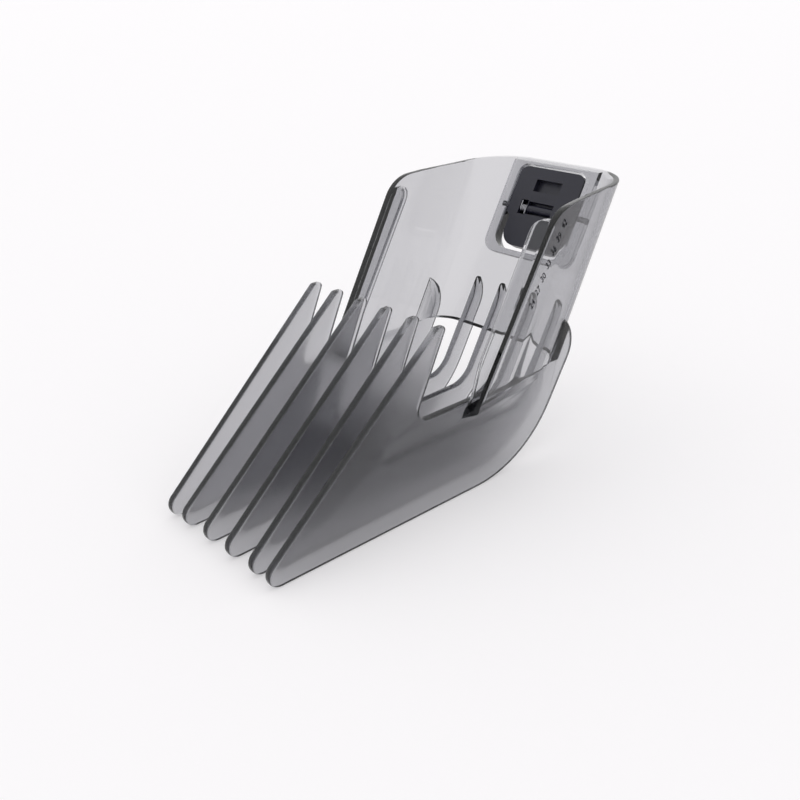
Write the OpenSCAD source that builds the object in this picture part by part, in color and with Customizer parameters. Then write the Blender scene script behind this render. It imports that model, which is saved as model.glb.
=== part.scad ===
// Adjustable guide comb of a hair clipper: six long fins under a leaning sleeve with a rocker latch.
// X runs across the comb, Y from the fin noses to the sleeve, Z up; the noses and flats stand on Z = 0.

/* [Fins] */
// Distance of the two inner fins from the middle plane
inner_fin_x = 4.6; // [4.2:0.1:5]
// Distance of the next two fins from the middle plane
middle_fin_x = 14; // [13.5:0.1:14.5]
// Distance of the two outer fins from the middle plane, at their noses
outer_fin_x = 20.5; // [20.2:0.1:20.8]
// Outward turn of the outer fins, in degrees
outer_fin_turn = 2.4; // [2.2:0.1:2.6]
// Thickness of a fin
fin_t = 2.2; // [2:0.1:2.4]
// Thickness of a fin at the very front and rear, where its edges are bevelled
fin_edge_t = 1.2; // [1:0.1:1.4]
// Width of those bevels
fin_bevel = 0.8; // [0.6:0.1:1.2]
// Radius of the round nose of a fin
nose_r = 3.3; // [3:0.1:3.6]
// Rise of the long front edge, in degrees
front_rise = 40.9; // [40:0.1:42]
// Height of the tooth tips
tip_z = 48.8; // [47:0.1:50]
// Lean of a tooth's rear edge from upright, in degrees
tooth_lean = 25.4; // [24.5:0.1:26]
// Distance from the noses at which a tooth's rear edge would meet the table
tooth_foot_y = 31; // [30.5:0.1:31.5]
// Length of the flat underside of an outer fin
flat_end_y = 65.5; // [63:0.5:67]
// Radius of the heel behind the flat underside
heel_r = 32; // [30:1:34]
// Radius of the shoulder at the top of a fin's rear edge
shoulder_r = 9; // [8:0.5:10]
// Height of the shoulder's centre on an outer fin
outer_shoulder_z = 31.6; // [30.5:0.1:32.5]
// Height of the shoulder's centre on an inner fin
inner_shoulder_z = 34.7; // [34:0.1:35.5]
// How much further back the inner four fins reach than the outer two
inner_reach = 6; // [5:0.5:6.5]
// Height of the outer fins' top edge
outer_top_z = 26.6; // [26:0.1:27]
// Height of the cradle floor that the inner four fins leave for the blade
cradle_z = 13.2; // [12.5:0.1:14]
// Radius of the cradle's rear corner
cradle_r = 9; // [8:0.5:10]

/* [Sleeve] */
// Lean of the sleeve from upright, in degrees
lean = 30.6; // [30:0.1:31]
// Distance of the sleeve's open front, measured at table level
front_y0 = 45.3; // [45:0.1:46]
// Distance of the back wall's outer face, measured at table level
back_y0 = 84.9; // [84:0.1:86]
// Half width of the open front at the bottom edge
front_half_low = 28.3; // [28:0.1:28.6]
// Half width of the open front at the rim
front_half_high = 29.3; // [29:0.1:29.6]
// Half width where the rear corners begin, at the bottom edge
crease_half_low = 25.3; // [25:0.1:25.6]
// Half width where the rear corners begin, at the rim
crease_half_high = 25.9; // [25.5:0.1:26.2]
// Radius of a rear corner at the bottom edge
corner_r_low = 10.5; // [9.5:0.5:11.5]
// Radius of a rear corner at the rim
corner_r_high = 15; // [14:0.5:16]
// Wall thickness
wall = 1.6; // [1.4:0.1:1.8]
// Extra wall thickness at the open front
front_lip = 0.4; // [0.2:0.1:0.6]
// Height of the back wall's bottom edge
sleeve_z = 27; // [26.8:0.1:27.4]
// Height of the rim at the open front
rim_front_z = 70.5; // [70:0.1:71]
// Height of the rim at the back
rim_back_z = 71.6; // [71:0.1:72]
// Radius of the rim's front corners
rim_corner_r = 10; // [8:0.5:11]
// Height of the side walls' outer bottom edge
skirt_z = 24.7; // [24.4:0.1:25]
// Height of the side walls' underside where it meets the outer fins
ledge_z = 22.4; // [22:0.1:22.8]

/* [Guide rails] */
// Half of the clear width between the two rails
rail_half_gap = 22.7; // [22.3:0.1:23.2]
// Depth of a rail
rail_depth = 2.4; // [2:0.1:3]
// Height of the rails' top
rail_top_z = 67.6; // [66:0.1:68]
// Width and depth of the groove in a rail's inner face
rail_groove = 0.8; // [0.6:0.1:1]

/* [Latch] */
// Distance of the latch frame's inner face, measured at table level
latch_y0 = 80.7; // [80.4:0.1:81]
// Half width of the latch frame
frame_half = 15; // [14.8:0.1:15.2]
// Place of the frame's bottom along the lean
frame_low = 55.2; // [55:0.1:55.6]
// Radius of the frame's lower corners
frame_r = 4; // [3:0.5:5]
// Half width of the window
window_half = 11.9; // [11.8:0.1:12]
// Place of the window's bottom along the lean
window_low = 56.8; // [56.7:0.1:57]
// Place of the window's top along the lean
window_high = 82.4; // [82.3:0.1:82.5]
// Half width of the rocker above the pin
rocker_half = 11.2; // [11:0.1:11.3]
// Half width of the rocker below the pin
rocker_low_half = 9.6; // [9.4:0.1:9.8]
// Place of the rocker's lower end along the lean
rocker_low = 58.2; // [58:0.1:58.4]
// Place of the rocker's upper end along the lean
rocker_high = 81.8; // [81.6:0.1:81.9]
// Thickness of the rocker
rocker_t = 3; // [2.8:0.1:3.1]
// Place of the pin along the lean
pin_s = 69.8; // [69.6:0.1:70]
// Depth of the pin's axis behind the frame's inner face
pin_q = 1.8; // [1.7:0.1:1.8]
// Depth of the rocker's inner face behind the frame's inner face
rocker_near = 0.4; // [0.3:0.1:0.5]
// Radius of the rocker's upper corners
rocker_high_r = 2.5; // [2:0.5:3]
// Radius of the rocker's lower corners
rocker_low_r = 4.5; // [4:0.5:5]
// Half width of the catch pocket in the rocker
hook_half = 4.5; // [4:0.1:5]
// Place of the catch pocket's lower side along the lean
hook_low = 74.8; // [74.5:0.1:75]
// Place of the catch pocket's upper side along the lean
hook_high = 78.4; // [78:0.1:79]
// Depth of the catch pocket
hook_depth = 2; // [1.6:0.1:2.2]
// Half width of the trough round the pin
trough_half = 4.4; // [4:0.1:4.5]
// Depth of the trough
trough_depth = 1.9; // [1.5:0.1:2]
// Radius of the rocker's barrel round the pin, left standing in the trough
barrel_r = 1.25; // [1.2:0.05:1.3]
// Ribs on the rocker's outer grip
grip_ribs = 4; // [3:1:5]
// Distance between two grip ribs
grip_pitch = 1.7; // [1.5:0.1:1.8]
// Place of the lowest grip rib along the lean
grip_low = 60.8; // [60.5:0.1:61]
// Length of a grip rib
grip_length = 12; // [10:1:14]
// Radius of a grip rib
grip_r = 0.6; // [0.5:0.1:0.6]
// Radius of the pin
pin_r = 0.8; // [0.75:0.05:0.85]
// Half length of the pin
pin_half = 13.8; // [13.6:0.1:14]
// Radial clearance of the rocker on the pin
pin_gap = 0.05; // [0.03:0.01:0.08]
// Wire radius of the latch spring
wire_r = 0.22; // [0.2:0.01:0.25]
// Radial clearance of the spring's coil on the pin
coil_gap = 0.1; // [0.08:0.01:0.12]
// Turns of the spring's coil
coil_turns = 4; // [3:1:4]
// Length of the spring's two legs
spring_leg = 1.9; // [1.7:0.1:1.9]
// Near end of the spring along the pin
spring_from = -7.1; // [-7.3:0.1:-7]
// Far end of the spring along the pin
spring_to = -4.7; // [-4.8:0.1:-4.6]

/* [Scale] */
// First number of the scale, in millimetres of hair length
scale_first = 24; // [12:3:36]
// Number of marks on the scale
scale_marks = 7; // [3:1:7]
// Distance between two marks along the lean
scale_pitch = 3.5; // [3.3:0.1:3.6]
// Place of the first mark along the lean
scale_low = 56; // [55.5:0.1:56.5]
// Distance of the marks behind the open front
scale_inset = 5.8; // [5.5:0.1:6.5]
// Height of a digit
digit_h = 2.1; // [1.8:0.1:2.3]
// Turn of a digit from the lean direction, in degrees
digit_turn = -16; // [-24:1:-8]
// Width of a digit's strokes
stroke_w = 0.28; // [0.24:0.02:0.32]

/* [Hidden] */

smoke = [0.36, 0.36, 0.39, 0.5];
dark_plastic = [0.16, 0.16, 0.2];
steel = [0.7, 0.7, 0.72];
ink = [0.08, 0.08, 0.1];

lean_tan = tan(lean);
wall_run = wall / cos(lean);
length = back_y0 + lean_tan * rim_back_z;
fin_bury = 0.4;
ledge_bite = 0.5;
ledge_rise = 0.3;
rail_foot = 0.75;
rail_run_in = 8;
rail_fade = 3;
rail_end_x = [1, 2.6];
rail_end_drop = [0.8, 0.3];
rim_step = 0.1;
frame_high = 2 * window_high - pin_s;
window_low_r = 5;
window_high_r = 3;
wall_q = (back_y0 - wall_run - latch_y0) * cos(lean);
step_high = 2.2;
step_low = 3;
trough_reach = 1.9;
grip_sink = 0.2;
well_reach = 2.15;
well_depth = rocker_near + rocker_t - 0.15;
cut_depth = 20;
eps = 0.01;
reach = 200;
round_fn = 48;

function mix(a, b, t) = a + (b - a) * t;
function arc(c, r, from, to, steps) =
    [for (i = [0 : steps]) let (a = mix(from, to, i / steps)) [c.x + r * cos(a), c.y + r * sin(a)]];
function leaned(x, y0, z) = [x, y0 + lean_tan * z, z];

// Everything is modelled with the noses at Y = 0 and moved so that the bounding box is centred.
module place() {
    translate([0, -length / 2, 0]) children();
}

// ---- Fins ----

// A fin's side view, as [distance from the noses, height].
function tooth_back(z) = tooth_foot_y + z * tan(tooth_lean);
front_line = nose_r * (1 + cos(front_rise) - sin(front_rise));
tip_r = 1;
tip_c_z = tip_z - tip_r;
tip_front = [(cos(front_rise) * tip_c_z - front_line + tip_r) / sin(front_rise), tip_c_z];
tip_back = [tooth_back(tip_c_z) - tip_r / cos(tooth_lean), tip_c_z];
notch_r = 2.5;

function heel_centre(shift) = [flat_end_y + shift, heel_r];
function shoulder_centre(shift, z) =
    let (c = heel_centre(shift),
         side = heel_r - shoulder_r,
         along = (z - c.y + side * sin(lean)) / cos(lean))
    [c.x + side * cos(lean) + along * sin(lean), z];
function fin_rear(shift, z, last) = concat(
    arc(heel_centre(shift), heel_r, -90, -lean, 14),
    arc(shoulder_centre(shift, z), shoulder_r, -lean, last, 12));
function notch(z) =
    arc([tooth_back(z + notch_r) + notch_r / cos(tooth_lean), z + notch_r], notch_r,
        270, 180 - tooth_lean, 6);
tooth = concat(
    arc(tip_back, tip_r, -tooth_lean, 90, 5),
    arc(tip_front, tip_r, 90, 90 + front_rise, 4),
    arc([nose_r, nose_r], nose_r, 90 + front_rise, 270, 12));

outer_shoulder = shoulder_centre(0, outer_shoulder_z);
fin_cut_y0 = crease_y0(sleeve_z) - fin_bury;
function arc_end(centre, y0) =
    acos((y0 * cos(lean) - centre * [cos(lean), -sin(lean)]) / shoulder_r) - lean;
outer_outline = concat(fin_rear(0, outer_shoulder_z, arc_end(outer_shoulder, fin_cut_y0)),
                       [[fin_cut_y0 + lean_tan * outer_top_z, outer_top_z]],
                       notch(outer_top_z), tooth);

// An inner fin's rear edge ends on the back wall's outer face, and its cradle starts at the inner face.
cradle_y0 = back_y0 - wall_run;
inner_shoulder = shoulder_centre(inner_reach, inner_shoulder_z);
cradle_corner = [cradle_y0 + lean_tan * (cradle_z + cradle_r) - cradle_r / cos(lean),
                 cradle_z + cradle_r];
inner_outline = concat(fin_rear(inner_reach, inner_shoulder_z, arc_end(inner_shoulder, back_y0)),
                       [[back_y0 + lean_tan * sleeve_z, sleeve_z],
                        [cradle_y0 + lean_tan * sleeve_z, sleeve_z]],
                       arc(cradle_corner, cradle_r, -lean, -90, 8), notch(cradle_z), tooth);

// A wedge with its thin end along one edge of the fin.
module bevel_wedge(edge_point, edge_angle) {
    slope = (fin_t - fin_edge_t) / 2 / fin_bevel;
    thin = fin_edge_t / 2 - slope * eps;
    thick = fin_edge_t / 2 + slope * reach;
    translate(edge_point) rotate(edge_angle) translate([-reach, 0, 0])
        rotate([90, 0, 90]) linear_extrude(2 * reach)
            polygon([[eps, thin], [-reach, thick], [-reach, -thick], [eps, -thin]]);
}

module fin_plate(outline, shift) {
    rear = heel_centre(shift) + heel_r * [cos(lean), -sin(lean)];
    rotate([90, 0, 90]) intersection() {
        linear_extrude(fin_t, center = true) polygon(outline);
        bevel_wedge([0, front_line / cos(front_rise)], front_rise);
        bevel_wedge(rear, -90 - lean);
    }
}

module outer_fin(side) {
    translate([side * outer_fin_x, 0, 0]) rotate(-side * outer_fin_turn)
        fin_plate(outer_outline, 0);
}

module inner_fin(x) {
    translate([x, 0, 0]) fin_plate(inner_outline, inner_reach);
}

module outer_fin_node(side) {
    color(smoke) place() difference() {
        outer_fin(side);
        corner_core(side);
    }
}

module inner_fin_node(x) {
    color(smoke) place() inner_fin(x);
}

// ---- Sleeve ----

// The sleeve's horizontal section changes evenly from the bottom edge to the rim.
function up(z) = (z - sleeve_z) / (rim_back_z - sleeve_z);
function front_half(z) = mix(front_half_low, front_half_high, up(z));
function crease_half(z) = mix(crease_half_low, crease_half_high, up(z));
function corner_r(z) = mix(corner_r_low, corner_r_high, up(z));
function crease_y0(z) = back_y0 - corner_r(z);
function rim_z(y0) = mix(rim_front_z, rim_back_z, (y0 - front_y0) / (back_y0 - front_y0));
function fin_face(y) = outer_fin_x + y * tan(outer_fin_turn) + fin_t / 2 / cos(outer_fin_turn);

function side_outer(t, z) =
    leaned(mix(front_half(z), crease_half(z), t), mix(front_y0, crease_y0(z), t), z);
function side_inner(t, z) = side_outer(t, z) - [wall + front_lip * (1 - t), 0, 0];
function corner_outer(a, z) =
    leaned(crease_half(z) - corner_r(z) * (1 - cos(a)), crease_y0(z) + corner_r(z) * sin(a), z);
function corner_inner(a, z) =
    leaned(crease_half(z) - corner_r(z) + (corner_r(z) - wall) * cos(a),
           crease_y0(z) + (corner_r(z) - wall_run) * sin(a), z);

// Columns of the side wall: [share of the way from the front to the crease, top height].
rim_corner_c_z = rim_front_z - rim_corner_r;
side_columns = concat(
    [for (i = [0 : 6])
        let (a = mix(180 - lean, 90, i / 6),
             z = rim_corner_c_z + rim_corner_r * sin(a),
             y0 = front_y0 + rim_corner_r * (1 / cos(lean) + cos(a)) + lean_tan * (rim_corner_c_z - z))
        [(y0 - front_y0) / (crease_y0(rim_back_z) - front_y0), z]],
    [for (t = [0.5, 0.75, 1]) [t, rim_z(mix(front_y0, crease_y0(rim_back_z), t))]]);

// A closed shell through a row of sections, each with the same number of points.
module loft(sections) {
    n = len(sections[0]);
    m = len(sections);
    ends = [[for (j = [n - 1 : -1 : 0]) j], [for (j = [0 : n - 1]) (m - 1) * n + j]];
    skin = [for (i = [0 : m - 2], j = [0 : n - 1], half = [0, 1])
        let (a = i * n + j, b = i * n + (j + 1) % n)
        half == 0 ? [a, b, b + n] : [a, b + n, a + n]];
    polyhedron([for (s = sections, p = s) p], concat(ends, skin));
}

module on_side(side) {
    mirror([side < 0 ? 1 : 0, 0, 0]) children();
}

// A side wall with the slanting ledge that joins it to the outer fin.
module side_wall(side) {
    on_side(side) loft([for (c = side_columns)
        let (t = c[0],
             low = side_inner(t, sleeve_z),
             foot_x = min(fin_face(low.y) - ledge_bite, low.x),
             under = side_outer(t, ledge_z),
             over = side_outer(t, skirt_z))
        [side_outer(t, c[1]), side_inner(t, c[1]), low,
         [foot_x, over.y, over.z + ledge_rise], [foot_x, under.y, under.z], over]]);
}

module rear_corner(side) {
    on_side(side) loft([for (i = [0 : 9])
        let (a = i * 10, top = rim_z(crease_y0(rim_back_z) + corner_r_high * sin(a)))
        [corner_outer(a, top), corner_inner(a, top), corner_inner(a, sleeve_z),
         corner_outer(a, sleeve_z)]]);
}

module back_panel() {
    loft([for (side = [1, -1])
        [for (p = [corner_outer(90, rim_back_z), corner_inner(90, rim_back_z),
                   corner_inner(90, sleeve_z), corner_outer(90, sleeve_z)])
            [side * p.x, p.y, p.z]]]);
}

// The space inside a rear corner's outer face, as high as the outer fins reach.
module corner_core(side) {
    top = outer_shoulder_z + 2 * shoulder_r;
    on_side(side) loft([for (z = [top, sleeve_z])
        concat([leaned(crease_half(z) - corner_r(z), crease_y0(z) - 1, z),
                leaned(crease_half(z), crease_y0(z) - 1, z)],
               [for (a = [0 : 10 : 90]) corner_outer(a, z)])]);
}

// ---- Guide rails ----

module guide_rail(side) {
    low_x = fin_face(leaned(0, front_y0, outer_top_z).y);
    foot_z = skirt_z + rail_foot;
    full_z = outer_top_z + rail_run_in;
    slope_z = rail_top_z - rail_fade;
    function rail_section(x_in, z_in, z_out, groove) =
        let (back = front_y0 + rail_depth, mid = front_y0 + rail_depth / 2,
             out_front = side_inner(0, z_out).x,
             out_back = side_inner(rail_depth / (crease_y0(z_out) - front_y0), z_out).x)
        [leaned(out_front, front_y0, z_out), leaned(x_in, front_y0, z_in),
         leaned(x_in, mid - groove / 2, z_in), leaned(x_in + groove, mid, z_in),
         leaned(x_in, mid + groove / 2, z_in), leaned(x_in, back, z_in), leaned(out_back, back, z_out)];
    color(smoke) place() on_side(side) loft([
        rail_section(low_x, foot_z, sleeve_z, rail_groove / 4),
        rail_section(low_x, sleeve_z, sleeve_z + 1, rail_groove / 4),
        rail_section(rail_half_gap, full_z, full_z, rail_groove),
        rail_section(rail_half_gap, slope_z, slope_z, rail_groove),
        rail_section(rail_half_gap + rail_end_x[0], rail_top_z - rail_end_drop[0],
                     rail_top_z - rail_end_drop[1], rail_groove),
        rail_section(rail_half_gap + rail_end_x[1], rail_top_z, rail_top_z, rail_groove / 2)]);
}

// ---- Latch ----

// X across, Y into the back wall, Z up the lean; Y = 0 is the frame's inner face.
module on_latch() {
    translate([0, latch_y0, 0]) rotate([-lean, 0, 0]) children();
}

// A flat plate in the latch's plane: half width, lower end, upper end, corner radius, depth range.
module latch_plate(half, low, high, r, near, far) {
    translate([0, far, 0]) rotate([90, 0, 0]) linear_extrude(far - near) polygon(concat(
        arc([half - r, low + r], r, -90, 0, 8), [[half, high], [-half, high]],
        arc([r - half, low + r], r, 180, 270, 8)));
}

// The latch frame's plate, from its inner face back to the given depth.
module frame_plate(far, top) {
    intersection() {
        on_latch() latch_plate(frame_half, frame_low, frame_high, frame_r, 0, far);
        translate([-reach / 2, 0, 0]) cube([reach, reach, top]);
    }
}

// The opening for the rocker, right through the frame and the back wall, and the pin's hole.
module latch_space() {
    on_latch() {
        latch_plate(window_half, window_low, window_high - window_high_r, window_low_r, -1, cut_depth);
        translate([0, cut_depth, 0]) rotate([90, 0, 0]) linear_extrude(cut_depth + 1)
            polygon(concat(
                arc([window_half - window_high_r, window_high - window_high_r], window_high_r, 0, 90, 6),
                arc([window_high_r - window_half, window_high - window_high_r], window_high_r, 90, 180, 6),
                [[-window_half, pin_s], [window_half, pin_s]]));
        latch_bore(pin_r, pin_half);
    }
}

module latch_bore(r, half) {
    translate([-half, pin_q, pin_s]) rotate([0, 90, 0]) cylinder(h = 2 * half, r = r, $fn = round_fn);
}

module rocker_outline() {
    polygon(concat(
        arc([rocker_half - rocker_high_r, rocker_high - rocker_high_r], rocker_high_r, 0, 90, 6),
        arc([rocker_high_r - rocker_half, rocker_high - rocker_high_r], rocker_high_r, 90, 180, 6),
        [[-rocker_half, pin_s - step_high], [-rocker_low_half, pin_s - step_low]],
        arc([rocker_low_r - rocker_low_half, rocker_low + rocker_low_r], rocker_low_r, 180, 270, 8),
        arc([rocker_low_half - rocker_low_r, rocker_low + rocker_low_r], rocker_low_r, 270, 360, 8),
        [[rocker_low_half, pin_s - step_low], [rocker_half, pin_s - step_high]]));
}

module latch_rocker() {
    color(dark_plastic) place() on_latch() difference() {
        union() {
            translate([0, rocker_near + rocker_t, 0]) rotate([90, 0, 0])
                linear_extrude(rocker_t) rocker_outline();
            for (i = [0 : grip_ribs - 1])
                translate([0, rocker_near + rocker_t - grip_sink, grip_low + i * grip_pitch])
                    rotate([0, 90, 0])
                        cylinder(h = grip_length, r = grip_r, center = true, $fn = round_fn);
        }
        // Pocket that drops over the catch on the clipper body.
        translate([-hook_half, 0, hook_low])
            cube([2 * hook_half, rocker_near + hook_depth, hook_high - hook_low]);
        // Trough across the middle, with the barrel that holds the pin left in it.
        difference() {
            translate([-trough_half, 0, pin_s - trough_reach])
                cube([2 * trough_half, rocker_near + trough_depth, 2 * trough_reach]);
            latch_bore(barrel_r, trough_half + 1);
        }
        // Well that holds the spring's coil and the leg that lies on the rocker.
        translate([spring_from - coil_gap, 0, pin_s - well_reach])
            cube([spring_to - spring_from + 2 * coil_gap, well_depth, 2 * well_reach]);
        latch_bore(pin_r + pin_gap, rocker_half + 1);
    }
}

module latch_frame() {
    color(smoke) place() difference() {
        frame_plate(wall_q, rim_back_z - rim_step);
        latch_space();
    }
}

module latch_pin() {
    color(steel) place() on_latch() latch_bore(pin_r, pin_half);
}

// A round wire along a path that winds about the X axis through centre.
module wire(path, r, centre) {
    n = len(path);
    sides = 8;
    loft([for (i = [0 : n - 1])
        let (ahead = path[min(i + 1, n - 1)] - path[max(i - 1, 0)],
             t = ahead / norm(ahead),
             flat = [0, path[i].y - centre.y, path[i].z - centre.z],
             square = flat - (flat * t) * t,
             u = square / norm(square),
             v = cross(t, u))
        [for (j = [0 : sides - 1]) let (a = -360 * j / sides) path[i] + r * (cos(a) * u + sin(a) * v)]]);
}

module latch_spring() {
    coil_r = pin_r + coil_gap + wire_r;
    turns = coil_turns;
    steps = 14;
    span = spring_to - spring_from - 2 * wire_r;
    leg = spring_leg;
    coil = [for (i = [0 : turns * steps])
        let (a = 180 + 360 * i / steps)
        [spring_from + wire_r + span * i / (turns * steps),
         pin_q + coil_r * cos(a), pin_s + coil_r * sin(a)]];
    path = concat([coil[0] + [0, 0, leg], coil[0] + [0, 0, leg / 2]], coil,
                  [coil[turns * steps] - [0, 0, leg / 2], coil[turns * steps] - [0, 0, leg]]);
    color(steel) place() on_latch() wire(path, wire_r, [0, pin_q, pin_s]);
}

// ---- Printed scale on the right side wall ----

// Strokes of the digits on a 2 by 4 grid of unit cells: [from, to] pairs.
top_left = [0, 4];
top_right = [2, 4];
mid_left = [0, 2];
mid_right = [2, 2];
low_left = [0, 0];
low_right = [2, 0];
digit_strokes = [
    [[top_left, top_right], [top_right, low_right], [low_right, low_left], [low_left, top_left]],
    [[top_right, low_right]],
    [[top_left, top_right], [top_right, mid_right], [mid_right, mid_left], [mid_left, low_left],
     [low_left, low_right]],
    [[top_left, top_right], [top_right, low_right], [mid_left, mid_right], [low_left, low_right]],
    [[top_left, mid_left], [mid_left, mid_right], [top_right, low_right]],
    [[top_right, top_left], [top_left, mid_left], [mid_left, mid_right], [mid_right, low_right],
     [low_right, low_left]],
    [[top_right, top_left], [top_left, low_left], [low_left, low_right], [low_right, mid_right],
     [mid_right, mid_left]],
    [[top_left, top_right], [top_right, low_right]],
    [[top_left, top_right], [top_right, low_right], [low_right, low_left], [low_left, top_left],
     [mid_left, mid_right]],
    [[mid_right, mid_left], [mid_left, top_left], [top_left, top_right], [top_right, low_right],
     [low_right, low_left]]];

stroke_t = 0.5;
ink_t = 0.08;

module stroke(from, to) {
    cell = digit_h / 4;
    low = [min(from.x, to.x), min(from.y, to.y)] * cell;
    size = [abs(to.x - from.x), abs(to.y - from.y)] * cell;
    translate([low.x - stroke_w / 2, low.y - stroke_w / 2, 0])
        cube([size.x + stroke_w, size.y + stroke_w, stroke_t]);
}

module number(value) {
    digits = [floor(value / 10), value % 10];
    advance = digit_h * 0.75;
    for (i = [0, 1], s = digit_strokes[digits[i]])
        translate([(i - 1) * advance, -digit_h / 2, 0]) stroke(s[0], s[1]);
}

module scale_numerals() {
    color(ink) place() difference() {
        for (i = [0 : scale_marks - 1]) {
            z = (scale_low + i * scale_pitch) * cos(lean);
            t = scale_inset / (crease_y0(z) - front_y0);
            p = side_outer(t, z);
            turn_in = atan((front_half(z) - crease_half(z)) / (crease_y0(z) - front_y0));
            translate(p) rotate(turn_in) rotate([90, 0, 90]) rotate(90 - lean + digit_turn)
                translate([0, 0, ink_t - stroke_t]) number(scale_first + 3 * i);
        }
        side_wall(1);
    }
}

module side_wall_node(side) {
    color(smoke) place() difference() {
        side_wall(side);
        intersection() {
            outer_fin(side);
            translate([-reach / 2, 0, 0]) cube([reach, reach, sleeve_z - eps]);
        }
    }
}

module rear_corner_node(side) {
    color(smoke) place() difference() {
        rear_corner(side);
        frame_plate(wall_q + 2 * eps, reach);
        latch_space();
    }
}

module back_wall() {
    color(smoke) place() difference() {
        back_panel();
        latch_space();
    }
}

outer_fin_node(-1);  // fin_1
inner_fin_node(-middle_fin_x);  // fin_2
inner_fin_node(-inner_fin_x);  // fin_3
inner_fin_node(inner_fin_x);  // fin_4
inner_fin_node(middle_fin_x);  // fin_5
outer_fin_node(1);  // fin_6
side_wall_node(-1);  // side_wall_left
side_wall_node(1);  // side_wall_right
rear_corner_node(-1);  // rear_corner_left
rear_corner_node(1);  // rear_corner_right
back_wall();
guide_rail(-1);  // guide_rail_left
guide_rail(1);  // guide_rail_right
latch_frame();
latch_rocker();
latch_pin();
latch_spring();
scale_numerals();
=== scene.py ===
"""Looks of a hair clipper's guide comb: one smoke-tinted clear moulding, a dark rocker latch,
its steel pin and spring, and a printed scale, on a pale floor under soft light.
Sizes are in millimetres until they are multiplied by MM."""
import math

import bmesh
import bpy
from mathutils import Matrix, Vector


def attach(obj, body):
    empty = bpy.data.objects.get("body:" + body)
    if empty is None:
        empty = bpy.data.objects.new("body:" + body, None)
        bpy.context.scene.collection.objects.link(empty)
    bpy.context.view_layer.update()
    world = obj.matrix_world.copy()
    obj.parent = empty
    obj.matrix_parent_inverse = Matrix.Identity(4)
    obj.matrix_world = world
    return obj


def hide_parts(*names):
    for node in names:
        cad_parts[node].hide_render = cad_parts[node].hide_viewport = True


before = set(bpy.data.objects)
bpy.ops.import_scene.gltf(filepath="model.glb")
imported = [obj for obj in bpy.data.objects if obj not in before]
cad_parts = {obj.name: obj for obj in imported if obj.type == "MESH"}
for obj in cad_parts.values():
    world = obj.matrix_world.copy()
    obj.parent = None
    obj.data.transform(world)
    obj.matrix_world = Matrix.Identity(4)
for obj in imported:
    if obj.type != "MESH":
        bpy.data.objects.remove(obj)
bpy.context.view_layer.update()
scene = bpy.context.scene
MM = 0.001

# ---- Driving sizes, the same as the CAD part's ----

# X is across the comb, Y runs from the fin noses to the sleeve and Z is up. The sleeve leans back
# by LEAN: a Y0 is the place on the table where a line along the lean starts. A pair is a size at
# the sleeve's bottom edge and at its rim. SHIFT centres the finished part on Y = 0.
LEAN = math.radians(30.6)
LEAN_TAN = math.tan(LEAN)
RIM_FRONT, RIM_BACK, RIM_CORNER_R = 70.5, 71.6, 10
FRONT_Y0, BACK_Y0 = 45.3, 84.9
SHIFT = -(BACK_Y0 + LEAN_TAN * RIM_BACK) / 2

FIN_X = [4.6, 14.0]
OUTER_FIN_X = 20.5
OUTER_TURN = math.radians(2.4)
FIN_T, FIN_EDGE_R = 2.2, 0.75
NOSE_R = 3.3
RISE = math.radians(40.9)
TIP_Z, TIP_R = 48.8, 1.0
TOOTH_LEAN = math.radians(25.4)
TOOTH_FOOT_Y = 31
FLAT_END, HEEL_R, SHOULDER_R = 65.5, 32, 9
OUTER_SHOULDER_Z, INNER_SHOULDER_Z, INNER_REACH = 31.6, 34.7, 6
OUTER_TOP_Z = 26.6
CRADLE_Z, CRADLE_R, NOTCH_R = 13.2, 9, 2.5
# How far the fins' upper ends are buried in the sleeve.
FIN_BURY, CRADLE_SINK, TOP_SINK = 0.4, 0.05, 1

SLEEVE_Z, SKIRT_Z, LEDGE_Z = 27, 24.7, 22.4
FRONT_HALF, CREASE_HALF, CORNER_R = (28.3, 29.3), (25.3, 25.9), (10.5, 15)
WALL, FRONT_LIP = 1.6, 0.4
WALL_RUN = WALL / math.cos(LEAN)
EDGE_R, EDGE_SHARE = 0.3, 0.3
LEDGE_BITE, LEDGE_RISE = 0.5, 0.3
# The core's depth in wall thicknesses, its reach past the sleeve, and where its sides have points.
CORE_DEPTH, CORE_BELOW, CORE_ABOVE, CORE_STATIONS = 1.02, 0.3, 3, (-0.3, 0, 0.5)
RIM_STEPS, TOP_STEPS, CORNER_STEPS = 12, 6, 30

RAIL_HALF_GAP, RAIL_DEPTH, RAIL_TOP, RAIL_GROOVE = 22.7, 2.4, 67.6, 0.8
RAIL_RUN_IN, RAIL_FADE, RAIL_FADE_X, RAIL_STEPS = 8, 3, 2.6, 6
RAIL_SINK, RAIL_LEAD, RAIL_START, RAIL_BEVEL = 0.3, 0.3, 0.05, 0.25
RAIL_FOOT_X, RAIL_FOOT_DROP = 0.3, 0.6

LATCH_Y0 = 80.7
FRAME_HALF, FRAME_LOW, FRAME_HIGH, FRAME_R = 15, 55.2, 83.9, 4
FRAME_SINK, RIM_STEP = 0.6, 0.15
TRIM_HALF, TRIM_LENGTH, TRIM_TOP = 30, 200, 100
WINDOW_HALF, WINDOW_LOW, WINDOW_HIGH = 11.9, 56.8, 82.4
WINDOW_LOW_R, WINDOW_HIGH_R, WINDOW_NEAR, WINDOW_FAR = 5, 3, -3, 8
WALL_Q = (BACK_Y0 - WALL_RUN - LATCH_Y0) * math.cos(LEAN)
PIN_S, PIN_Q, PIN_R = 69.8, 1.8, 0.8
WIRE_R, COIL_GAP, COIL_TURNS, TURN_STEPS = 0.22, 0.1, 4, 24
COIL_FROM, COIL_TO, COIL_LEG = -7.1, -4.7, 1.9

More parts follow.
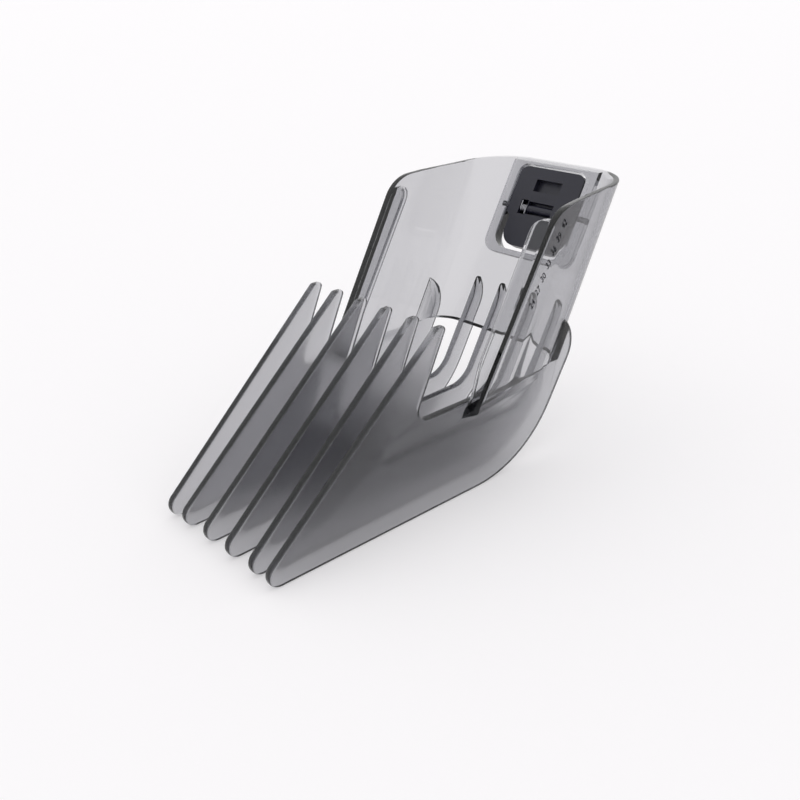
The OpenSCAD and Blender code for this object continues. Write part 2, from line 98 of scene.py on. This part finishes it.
SCALE_FIRST, SCALE_STEP, SCALE_MARKS = 24, 3, 7
SCALE_PITCH, SCALE_LOW, SCALE_INSET = 3.5, 56, 5.8
DIGIT_H, DIGIT_TURN, INK_LIFT, INK_T = 2.1, math.radians(-16), 0.05, 0.02
CAP_SHARE, STROKE_EXTRA, DIGIT_NARROW = 0.66, 0.03, 0.68

# ---- Mesh tolerances ----

SAME_POINT, MERGE, SHARP_RIM = 0.01, 0.003, 0.01
MITRE_FLOOR = 0.3
SMOOTH_ANGLE = math.radians(20)

# ---- Looks ----

# A face is matt if its normal's X is over FROST_FACING and it is nearer to a fin's middle plane
# than FROST_REACH of its thickness. FROST_GAP keeps it off the sleeve's open front.
FROST_FACING, FROST_REACH, FROST_GAP = 0.95, 0.6, 1
FROST_ROUGHNESS = 0.2
SMOKE_IOR, SMOKE_TINT, SMOKE_DENSITY = 1.45, (0, 0.005, 0.06, 1), 235
FLOOR_HALF_M, FLOOR_DROP = 40, 0.02
BOUNCES = 48
AZIMUTH, ELEVATION, ROLL = (math.radians(a) for a in (46.922, 26.193, 1.170))
CAMERA_AT = Vector((159.16, -151.99, 126.11)) * MM
LENS, SENSOR = 40.67, 36


# ---- Small geometry helpers, on (Y, Z) outlines ----

def arc(centre, r, start, end, steps):
    """Points of an arc, one more than its steps; start and end are angles in radians."""
    angles = [start + (end - start) * i / steps for i in range(steps + 1)]
    return [Vector((centre[0] + r * math.cos(a), centre[1] + r * math.sin(a))) for a in angles]


def inset(outline, distance):
    """A counter-clockwise outline moved inwards by a small distance."""
    moved = []
    for i, p in enumerate(outline):
        before = (p - outline[i - 1]).normalized()
        after = (outline[(i + 1) % len(outline)] - p).normalized()
        n1, n2 = Vector((-before.y, before.x)), Vector((-after.y, after.x))
        moved.append(p + (n1 + n2) * distance / max(MITRE_FLOOR, 1 + n1.dot(n2)))
    return moved


def clean(outline):
    """The outline without points that repeat the one before."""
    return [p for i, p in enumerate(outline) if (p - outline[i - 1]).length > SAME_POINT]


def new_object(name, bm):
    """A mesh object, still in millimetres, from a bmesh."""
    bmesh.ops.recalc_face_normals(bm, faces=bm.faces)
    mesh = bpy.data.meshes.new(name)
    bm.to_mesh(mesh)
    bm.free()
    obj = bpy.data.objects.new(name, mesh)
    scene.collection.objects.link(obj)
    return obj


def rounded_plate(outline, thickness, rim):
    """A plate in the YZ plane, centred on X = 0, with a rounded rim."""
    outline = clean(outline)
    quarter = [math.radians(a) for a in (0, 15, 30, 45, 60, 75, 90)]
    rings = [(rim * (1 - math.sin(a)), thickness / 2 - rim * (1 - math.cos(a))) for a in quarter]
    rings += [(d, -x) for d, x in reversed(rings)]
    bm = bmesh.new()
    loops = []
    for distance, x in rings:
        loops.append([bm.verts.new((x, p.x, p.y)) for p in inset(outline, distance)])
    count = len(outline)
    for low, high in zip(loops, loops[1:]):
        for i in range(count):
            j = (i + 1) % count
            bm.faces.new((low[i], low[j], high[j], high[i])).smooth = True
    bm.faces.new(loops[0]).smooth = True
    bm.faces.new(loops[-1]).smooth = True
    return bm


def loft(sections):
    """A closed shell through a row of sections, each a ring of the same number of points."""
    bm = bmesh.new()
    rings = [[bm.verts.new(p) for p in s] for s in sections]
    count = len(rings[0])
    for a, b in zip(rings, rings[1:]):
        for i in range(count):
            j = (i + 1) % count
            bm.faces.new((a[i], a[j], b[j], b[i])).smooth = True
    bm.faces.new(rings[0])
    bm.faces.new(rings[-1])
    return bm


def boolean(target, tool, operation):
    """The target's mesh joined with, or cut by, the tool, which is then removed."""
    modifier = target.modifiers.new(operation.lower(), "BOOLEAN")
    modifier.operation = operation
    modifier.solver = "MANIFOLD"
    modifier.object = tool
    graph = bpy.context.evaluated_depsgraph_get()
    made = bpy.data.meshes.new_from_object(target.evaluated_get(graph))
    target.modifiers.clear()
    target.data = made
    bpy.data.objects.remove(tool)


# ---- Fins ----

FRONT_LINE = NOSE_R * (1 + math.cos(RISE) - math.sin(RISE))


def tooth_back(z):
    """The tooth's rear edge at a height."""
    return TOOTH_FOOT_Y + z * math.tan(TOOTH_LEAN)


def tooth_outline():
    """The tooth from its rear edge over the tip and down to the nose."""
    top = TIP_Z - TIP_R
    front = ((math.cos(RISE) * top - FRONT_LINE + TIP_R) / math.sin(RISE), top)
    back = (tooth_back(top) - TIP_R / math.cos(TOOTH_LEAN), top)
    right, quarter = math.pi / 2, math.pi * 1.5
    return (arc(back, TIP_R, -TOOTH_LEAN, right, 8) + arc(front, TIP_R, right, right + RISE, 6)
            + arc((NOSE_R, NOSE_R), NOSE_R, right + RISE, quarter, 20))


def notch(z):
    """The rounded corner between a fin's top edge and its tooth."""
    centre = (tooth_back(z + NOTCH_R) + NOTCH_R / math.cos(TOOTH_LEAN), z + NOTCH_R)
    return arc(centre, NOTCH_R, math.pi * 1.5, math.pi - TOOTH_LEAN, 8)


def heel_centre(shift):
    """Centre of the large arc behind the flat underside."""
    return Vector((FLAT_END + shift, HEEL_R))


def shoulder_centre(shift, z):
    """Centre of the small arc at the top of the rear edge."""
    c, side = heel_centre(shift), HEEL_R - SHOULDER_R
    along = (z - c.y + side * math.sin(LEAN)) / math.cos(LEAN)
    return Vector((c.x + side * math.cos(LEAN) + along * math.sin(LEAN), z))


def fin_rear(shift, z, wall_y0):
    """The flat's end, the heel, the straight rear edge and the shoulder, up to a line along the lean."""
    centre = shoulder_centre(shift, z)
    normal = Vector((math.cos(LEAN), -math.sin(LEAN)))
    last = math.acos((wall_y0 * math.cos(LEAN) - centre.dot(normal)) / SHOULDER_R) - LEAN
    return (arc(heel_centre(shift), HEEL_R, -math.pi / 2, -LEAN, 24)
            + arc(centre, SHOULDER_R, -LEAN, last, 20))


def leaned(y0, z):
    """The point at a height on a line along the lean that meets the table at y0."""
    return Vector((y0 + LEAN_TAN * z, z))


def outer_outline():
    """Its upper end is just buried in the sleeve's corner."""
    wall_y0 = BACK_Y0 - CORNER_R[0] - FIN_BURY
    return (fin_rear(0, OUTER_SHOULDER_Z, wall_y0) + [leaned(wall_y0, OUTER_TOP_Z)]
            + notch(OUTER_TOP_Z) + tooth_outline())


def inner_outline():
    """Its upper end is buried in the back wall."""
    buried_y0, cradle_y0 = BACK_Y0 - WALL_RUN / 2, BACK_Y0 - WALL_RUN + CRADLE_SINK
    z = CRADLE_Z + CRADLE_R
    corner = (cradle_y0 + LEAN_TAN * z - CRADLE_R / math.cos(LEAN), z)
    return (fin_rear(INNER_REACH, INNER_SHOULDER_Z, buried_y0)
            + [leaned(buried_y0, SLEEVE_Z + TOP_SINK), leaned(cradle_y0, SLEEVE_Z + TOP_SINK)]
            + arc(corner, CRADLE_R, -LEAN, -math.pi / 2, 14) + notch(CRADLE_Z) + tooth_outline())


def fin(outline, x, turn):
    """An even plate with round edges."""
    bm = rounded_plate(outline, FIN_T, FIN_EDGE_R)
    bmesh.ops.rotate(bm, verts=bm.verts, cent=(0, 0, 0), matrix=Matrix.Rotation(turn, 3, "Z"))
    bmesh.ops.translate(bm, verts=bm.verts, vec=(x, 0, 0))
    return new_object("fin", bm)


# ---- Sleeve ----

def mix(pair, share):
    """The value a share of the way through a pair."""
    return pair[0] + (pair[1] - pair[0]) * share


def up(z):
    """Share of the way from the sleeve's bottom edge to its rim."""
    return (z - SLEEVE_Z) / (RIM_BACK - SLEEVE_Z)


def crease_y0(z):
    """Where the side wall ends and the rounded corner starts."""
    return BACK_Y0 - mix(CORNER_R, up(z))


def rim_z(y0):
    """Height of the gently rising rim."""
    return mix((RIM_FRONT, RIM_BACK), (y0 - FRONT_Y0) / (BACK_Y0 - FRONT_Y0))


def side_point(t, z, depth):
    """A point of the side wall. t runs from the open front (0) to the crease (1), and depth from
    the outer face (0) to the inner face (1)."""
    x = mix((mix(FRONT_HALF, up(z)), mix(CREASE_HALF, up(z))), t)
    return Vector((x - depth * (WALL + FRONT_LIP * (1 - t)),
                   mix((FRONT_Y0, crease_y0(z)), t) + LEAN_TAN * z, z))


def corner_point(a, z, depth):
    """A point of the rounded rear corner: a runs from the crease (0) to the back wall (pi / 2)."""
    r = mix(CORNER_R, up(z))
    across, along = r - depth * WALL, r - depth * WALL_RUN
    return Vector((mix(CREASE_HALF, up(z)) - r + across * math.cos(a),
                   crease_y0(z) + along * math.sin(a) + LEAN_TAN * z, z))


def fin_face(y):
    """Outer face of the outer fin."""
    return OUTER_FIN_X + y * math.tan(OUTER_TURN) + FIN_T / 2 / math.cos(OUTER_TURN)


def section(point, top, foot):
    """A ring of the wall: rounded top, inner face, the foot's points and the outer face."""
    e = EDGE_R / WALL
    start = [(0, EDGE_R), (e * EDGE_SHARE, EDGE_R * EDGE_SHARE), (e, 0)]
    rounding = start + [(1 - depth, drop) for depth, drop in reversed(start)]
    return [point(top - drop, depth) for depth, drop in rounding] + foot


def side_section(t, top):
    """A ring of the side wall with the ledge that joins it to the outer fin."""
    low = side_point(t, SLEEVE_Z, 1)
    under, over = side_point(t, LEDGE_Z, 0), side_point(t, SKIRT_Z, 0)
    foot_x = min(fin_face(low.y) - LEDGE_BITE, low.x)
    foot = [low, Vector((foot_x, over.y, over.z + LEDGE_RISE)), Vector((foot_x, under.y, under.z)), over]
    return section(lambda z, depth: side_point(t, z, depth), top, foot)


def corner_section(a, top):
    """A ring of the rounded corner, with as many points as a ring of the side wall."""
    low, outer = corner_point(a, SLEEVE_Z, 1), corner_point(a, SLEEVE_Z, 0)
    foot = [low, low.lerp(outer, 1 / 3), low.lerp(outer, 2 / 3), outer]
    return section(lambda z, depth: corner_point(a, z, depth), top, foot)


def half_sleeve():
    """Sections from the open front of the right side to the middle of the back."""
    columns = []
    centre_z = RIM_FRONT - RIM_CORNER_R
    for i in range(RIM_STEPS + 1):
        a = mix((math.pi - LEAN, math.pi / 2), i / RIM_STEPS)
        z = centre_z + RIM_CORNER_R * math.sin(a)
        y0 = FRONT_Y0 + RIM_CORNER_R * (1 / math.cos(LEAN) + math.cos(a)) + LEAN_TAN * (centre_z - z)
        columns.append(((y0 - FRONT_Y0) / (crease_y0(RIM_BACK) - FRONT_Y0), z))
    last = columns[-1][0]
    for i in range(1, TOP_STEPS + 1):
        t = mix((last, 1), i / TOP_STEPS)
        columns.append((t, rim_z(mix((FRONT_Y0, crease_y0(RIM_BACK)), t))))
    sides = [side_section(t, z) for t, z in columns]
    corners = []
    for i in range(CORNER_STEPS + 1):
        a = math.pi / 2 * i / CORNER_STEPS
        corners.append(corner_section(a, rim_z(crease_y0(RIM_BACK) + CORNER_R[1] * math.sin(a))))
    return sides + corners


def sleeve():
    """Side walls, rear corners and back wall as one shell."""
    right = half_sleeve()
    left = [[Vector((-p.x, p.y, p.z)) for p in s] for s in reversed(right)]
    bm = loft(right + left)
    bmesh.ops.remove_doubles(bm, verts=bm.verts, dist=MERGE)
    bmesh.ops.dissolve_degenerate(bm, edges=bm.edges, dist=MERGE)
    return new_object("sleeve", bm)


def sleeve_core():
    """The space inside the sleeve, a hair smaller than its inner faces."""
    rings = []
    angles = [math.pi / 2 * i / CORNER_STEPS for i in range(CORNER_STEPS + 1)]
    for z in (SLEEVE_Z - CORE_BELOW, RIM_BACK + CORE_ABOVE):
        half = [side_point(t, z, CORE_DEPTH) for t in CORE_STATIONS]
        half += [corner_point(a, z, CORE_DEPTH) for a in angles]
        rings.append(half + [Vector((-p.x, p.y, p.z)) for p in reversed(half)])
    return new_object("core", loft(rings))


# ---- Rails and latch frame ----

def rail(side):
    """An upright rail with a shallow groove, inside a side wall's open front."""
    low_x = fin_face(leaned(FRONT_Y0, OUTER_TOP_Z).x)
    full_z, slope_z = OUTER_TOP_Z + RAIL_RUN_IN, RAIL_TOP - RAIL_FADE

    def ring(x_in, z_in, z_out, groove):
        """A ring with its inner face at x_in and z_in, and its edge inside the wall at z_out."""
        front, back = FRONT_Y0 + RAIL_START, FRONT_Y0 + RAIL_DEPTH
        mid = FRONT_Y0 + RAIL_LEAD + (RAIL_DEPTH - RAIL_LEAD) / 2
        out = side_point(0, z_out, 1).x + RAIL_SINK
        e = RAIL_BEVEL
        inner = [(x_in + e, front), (x_in, front + e), (x_in, mid - groove / 2), (x_in + groove, mid),
                 (x_in, mid + groove / 2), (x_in, back - e), (x_in + e, back)]
        points = [(out, front, z_out)] + [(x, y0, z_in) for x, y0 in inner] + [(out, back, z_out)]
        return [Vector((side * x, y0 + LEAN_TAN * z, z)) for x, y0, z in points]

    rings = [ring(low_x - RAIL_FOOT_X, SKIRT_Z - RAIL_FOOT_DROP, SLEEVE_Z, RAIL_GROOVE / 4),
             ring(low_x, SLEEVE_Z, SLEEVE_Z + 1, RAIL_GROOVE / 4),
             ring(RAIL_HALF_GAP, full_z, full_z, RAIL_GROOVE),
             ring(RAIL_HALF_GAP, slope_z, slope_z, RAIL_GROOVE)]
    for i in range(1, RAIL_STEPS + 1):
        a = math.pi / 2 * i / RAIL_STEPS
        x = RAIL_HALF_GAP + RAIL_FADE_X * (1 - math.cos(a))
        z = slope_z + RAIL_FADE * math.sin(a)
        rings.append(ring(x, z, z, RAIL_GROOVE * (1 - i / (2 * RAIL_STEPS))))
    return new_object("rail", loft(rings))


def on_latch(p, q):
    """A point (x, place along the lean, depth) of the latch's plane, in the part's axes."""
    x, s = p
    y = LATCH_Y0 + q * math.cos(LEAN) + s * math.sin(LEAN)
    return Vector((x, y, s * math.cos(LEAN) - q * math.sin(LEAN)))


def lying_plate(outline, near, far, rim):
    """A rounded plate in the latch's plane from depth near to far."""
    bm = rounded_plate(outline, far - near, rim)
    for v in bm.verts:
        v.co = on_latch((v.co.y, v.co.z), (near + far) / 2 + v.co.x)
    return new_object("plate", bm)


def frame_plate():
    """The latch frame, cut level just under the rim."""
    half, r = FRAME_HALF, FRAME_R
    right, down = math.pi / 2, math.pi * 1.5
    outline = (arc((half - r, FRAME_LOW + r), r, -right, 0, 12)
               + [Vector((half, FRAME_HIGH)), Vector((-half, FRAME_HIGH))]
               + arc((r - half, FRAME_LOW + r), r, math.pi, down, 12))
    plate = lying_plate(outline, 0, WALL_Q + FRAME_SINK, EDGE_R)
    above = box_tool((-TRIM_HALF, 0, RIM_BACK - RIM_STEP), (TRIM_HALF, TRIM_LENGTH, TRIM_TOP))
    boolean(plate, above, "DIFFERENCE")
    return plate


def window():
    """The opening for the rocker, as a tool that reaches through the frame and the back wall."""
    half, low, high = WINDOW_HALF, WINDOW_LOW, WINDOW_HIGH
    r, h = WINDOW_LOW_R, WINDOW_HIGH_R
    right, down = math.pi / 2, math.pi * 1.5
    outline = (arc((half - r, low + r), r, -right, 0, 12)
               + arc((half - h, high - h), h, 0, right, 10)
               + arc((h - half, high - h), h, right, math.pi, 10)
               + arc((r - half, low + r), r, math.pi, down, 12))
    return lying_plate(outline, WINDOW_NEAR, WINDOW_FAR, SHARP_RIM)


def box_tool(low, high):
    """A box between two corners, to cut with."""
    bm = bmesh.new()
    bmesh.ops.create_cube(bm, size=1)
    for v in bm.verts:
        v.co = Vector([(low[i] + high[i]) / 2 + v.co[i] * (high[i] - low[i]) for i in range(3)])
    return new_object("box", bm)


def is_frosted(p):
    """Whether a point lies on a fin, whose sides are matt; the sleeve and the rims are polished."""
    outer = OUTER_FIN_X + p.y * math.tan(OUTER_TURN)
    off = min(abs(abs(p.x) - x) for x in (*FIN_X, outer))
    before_sleeve = p.y < FRONT_Y0 + LEAN_TAN * p.z - FROST_GAP
    return off < FIN_T * FROST_REACH and (p.z < SKIRT_Z or before_sleeve)


def comb_moulding(material):
    """Fins, sleeve, rails and latch frame as one continuous moulding with no faces inside."""
    body = sleeve()
    for side in (-1, 1):
        boolean(body, fin(outer_outline(), side * OUTER_FIN_X, -side * OUTER_TURN), "UNION")
    for x in [-FIN_X[1], -FIN_X[0], *FIN_X]:
        boolean(body, fin(inner_outline(), x, 0), "UNION")
    boolean(body, sleeve_core(), "DIFFERENCE")
    for side in (-1, 1):
        boolean(body, rail(side), "UNION")
    boolean(body, frame_plate(), "UNION")
    boolean(body, window(), "DIFFERENCE")
    body.name = body.data.name = "comb_moulding"
    frost = body.data.attributes.new("frosted", "FLOAT", "FACE")
    for face in body.data.polygons:
        matt = abs(face.normal.x) > FROST_FACING and is_frosted(face.center)
        frost.data[face.index].value = float(matt)
    body.data.transform(Matrix.Scale(MM, 4) @ Matrix.Translation((0, SHIFT, 0)))
    body.data.materials.clear()
    body.data.materials.append(material)
    body.data.set_sharp_from_angle(angle=SMOOTH_ANGLE)
    return body


# ---- Materials ----

def shader(name, colour, roughness, **inputs):
    """A material with a Principled shader; an input's spaces are written as underscores."""
    material = bpy.data.materials.new(name)
    material.use_nodes = True
    bsdf = material.node_tree.nodes["Principled BSDF"]
    bsdf.inputs["Base Color"].default_value = (*colour, 1)
    bsdf.inputs["Roughness"].default_value = roughness
    for key, value in inputs.items():
        bsdf.inputs[key.replace("_", " ")].default_value = value
    return material


def add_noise(material, scale, low, high, bump):
    """Roughness that varies from low to high, with a bump of the same grain, in metres."""
    tree = material.node_tree
    bsdf = tree.nodes["Principled BSDF"]
    place = tree.nodes.new("ShaderNodeTexCoord")
    noise = tree.nodes.new("ShaderNodeTexNoise")
    noise.inputs["Scale"].default_value = scale
    noise.inputs["Detail"].default_value = 3
    spread = tree.nodes.new("ShaderNodeMapRange")
    spread.inputs["To Min"].default_value = low
    spread.inputs["To Max"].default_value = high
    relief = tree.nodes.new("ShaderNodeBump")
    relief.inputs["Distance"].default_value = bump
    relief.inputs["Strength"].default_value = 1
    tree.links.new(place.outputs["Object"], noise.inputs["Vector"])
    tree.links.new(noise.outputs["Fac"], spread.inputs["Value"])
    tree.links.new(spread.outputs["Result"], bsdf.inputs["Roughness"])
    tree.links.new(noise.outputs["Fac"], relief.inputs["Height"])
    tree.links.new(relief.outputs["Normal"], bsdf.inputs["Normal"])


def smoke_material():
    """Clear plastic that is darker the further light travels in it, matt where the mesh says frosted."""
    material = shader("smoke_plastic", (1, 1, 1), 0.02, Transmission_Weight=1, IOR=SMOKE_IOR)
    add_noise(material, scale=90, low=0.015, high=0.06, bump=0.00001)
    tree = material.node_tree
    bsdf = tree.nodes["Principled BSDF"]
    grain = bsdf.inputs["Roughness"].links[0].from_socket
    frosted = tree.nodes.new("ShaderNodeAttribute")
    frosted.attribute_name = "frosted"
    matt = tree.nodes.new("ShaderNodeMath")
    matt.operation = "MULTIPLY_ADD"
    matt.inputs[1].default_value = FROST_ROUGHNESS
    tree.links.new(frosted.outputs["Fac"], matt.inputs[0])
    tree.links.new(grain, matt.inputs[2])
    tree.links.new(matt.outputs["Value"], bsdf.inputs["Roughness"])
    tint = tree.nodes.new("ShaderNodeVolumeAbsorption")
    tint.inputs["Color"].default_value = SMOKE_TINT
    tint.inputs["Density"].default_value = SMOKE_DENSITY
    tree.links.new(tint.outputs["Volume"], tree.nodes["Material Output"].inputs["Volume"])
    return material


smoke = smoke_material()
rocker_plastic = shader("rocker_plastic", (0.010, 0.010, 0.021), 0.35)
add_noise(rocker_plastic, scale=2500, low=0.26, high=0.42, bump=0.00001)
steel = shader("steel", (0.3, 0.3, 0.32), 0.3, Metallic=1)
add_noise(steel, scale=4000, low=0.18, high=0.32, bump=0.000003)
ink = shader("scale_ink", (0.003, 0.003, 0.005), 0.55, Specular_IOR_Level=0.1)
add_noise(ink, scale=3000, low=0.5, high=0.65, bump=0.000002)

# ---- The comb ----

MOULDING_NODES = [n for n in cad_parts
                  if n not in ("latch_rocker", "latch_pin", "latch_spring", "scale_numerals")]
body = comb_moulding(smoke)
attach(body, "comb")
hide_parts(*MOULDING_NODES)


def refined_copy(node, name, material, edge):
    """A copy of a CAD node with its edges softened to a width of edge."""
    obj = bpy.data.objects.new(name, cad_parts[node].data.copy())
    scene.collection.objects.link(obj)
    obj.data.materials.clear()
    obj.data.materials.append(material)
    bm = bmesh.new()
    bm.from_mesh(obj.data)
    bmesh.ops.remove_doubles(bm, verts=bm.verts, dist=0.000002)
    bmesh.ops.dissolve_limit(bm, angle_limit=math.radians(1), verts=bm.verts, edges=bm.edges)
    bm.to_mesh(obj.data)
    bm.free()
    soften = obj.modifiers.new("soft_edges", "BEVEL")
    soften.width = edge * MM
    soften.segments = 2
    soften.limit_method = "ANGLE"
    soften.angle_limit = math.radians(40)
    obj.data.set_sharp_from_angle(angle=math.radians(35))
    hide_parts(node)
    return obj


rocker = refined_copy("latch_rocker", "rocker", rocker_plastic, 0.15)
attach(rocker, "rocker")
pin = refined_copy("latch_pin", "hinge_pin", steel, 0.12)
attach(pin, "comb")


def spring_curve():
    """The torsion spring's wire: a coil round the pin with two straight legs."""
    r = PIN_R + COIL_GAP + WIRE_R
    steps = TURN_STEPS * COIL_TURNS
    span = COIL_TO - COIL_FROM - 2 * WIRE_R
    path = []
    for i in range(steps + 1):
        a = math.pi + 2 * math.pi * COIL_TURNS * i / steps
        x = COIL_FROM + WIRE_R + span * i / steps
        path.append((x, PIN_S + r * math.sin(a), PIN_Q + r * math.cos(a)))
    first, last = path[0], path[-1]
    path = [(first[0], first[1] + COIL_LEG, first[2])] + path + [(last[0], last[1] - COIL_LEG, last[2])]
    curve = bpy.data.curves.new("spring_wire", "CURVE")
    curve.dimensions = "3D"
    curve.bevel_depth = WIRE_R * MM
    curve.bevel_resolution = 3
    curve.use_fill_caps = True
    spline = curve.splines.new("POLY")
    spline.points.add(len(path) - 1)
    for point, (x, s, q) in zip(spline.points, path):
        p = on_latch((x, s), q)
        point.co = (*(Vector((p.x, p.y + SHIFT, p.z)) * MM), 1)
    curve.materials.append(steel)
    obj = bpy.data.objects.new("spring_wire", curve)
    scene.collection.objects.link(obj)
    return obj


spring = spring_curve()
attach(spring, "comb")
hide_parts("latch_spring")


def scale_numbers():
    """The printed numbers on the right side wall, reading up along the lean."""
    made = []
    for i in range(SCALE_MARKS):
        z = (SCALE_LOW + i * SCALE_PITCH) * math.cos(LEAN)
        t = SCALE_INSET / (crease_y0(z) - FRONT_Y0)
        at = side_point(t, z, 0)
        level = (side_point(1, z, 0) - side_point(0, z, 0)).normalized()
        normal = level.cross(side_point(t, z + 1, 0) - at).normalized()
        turn = math.pi / 2 - LEAN + DIGIT_TURN
        read = level * math.cos(turn) + normal.cross(level) * math.sin(turn)
        label = str(SCALE_FIRST + SCALE_STEP * i)
        text = bpy.data.curves.new("number_" + label, "FONT")
        text.body = label
        text.size = DIGIT_H / CAP_SHARE * MM
        text.offset = STROKE_EXTRA * MM
        text.align_x = "CENTER"
        text.align_y = "CENTER"
        text.extrude = INK_T * MM
        text.materials.append(ink)
        obj = bpy.data.objects.new(text.name, text)
        scene.collection.objects.link(obj)
        place = Matrix((read, normal.cross(read), normal)).transposed().to_4x4()
        place.translation = (Vector((at.x, at.y + SHIFT, at.z)) + normal * INK_LIFT) * MM
        obj.matrix_world = place @ Matrix.Diagonal((DIGIT_NARROW, 1, 1, 1))
        made.append(obj)
    return made


for i, number in enumerate(scale_numbers()):
    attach(number, "comb")
    if i == 0:
        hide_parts("scale_numerals")

# ---- Floor, light and camera ----

bm = bmesh.new()
bmesh.ops.create_grid(bm, x_segments=1, y_segments=1, size=FLOOR_HALF_M)
floor_mesh = bpy.data.meshes.new("floor")
bm.to_mesh(floor_mesh)
bm.free()
floor = bpy.data.objects.new("floor", floor_mesh)
scene.collection.objects.link(floor)
floor.location.z = -FLOOR_DROP * MM
floor_mesh.materials.append(shader("floor_paper", (0.62, 0.61, 0.62), 0.9,
                                   Emission_Color=(1, 0.985, 1, 1), Emission_Strength=0.34))

world = bpy.data.worlds.new("studio")
scene.world = world
world.use_nodes = True
world.node_tree.nodes["Background"].inputs["Color"].default_value = (1, 1, 1, 1)
world.node_tree.nodes["Background"].inputs["Strength"].default_value = 1.0

scene.view_settings.view_transform = "Standard"
scene.cycles.max_bounces = BOUNCES
scene.cycles.transmission_bounces = BOUNCES

right = Vector((math.cos(AZIMUTH), math.sin(AZIMUTH), 0))
back = Vector((math.sin(AZIMUTH) * math.cos(ELEVATION), -math.cos(AZIMUTH) * math.cos(ELEVATION),
               math.sin(ELEVATION)))
above = back.cross(right)
tilted_right = right * math.cos(ROLL) - above * math.sin(ROLL)
tilted_up = right * math.sin(ROLL) + above * math.cos(ROLL)
camera = bpy.data.objects.new("camera", bpy.data.cameras.new("camera"))
scene.collection.objects.link(camera)
facing = Matrix((tilted_right, tilted_up, back)).transposed().to_4x4()
camera.matrix_world = Matrix.Translation(CAMERA_AT) @ facing
camera.data.lens = LENS
camera.data.sensor_width = SENSOR
camera.data.clip_start = 0.01
scene.camera = camera
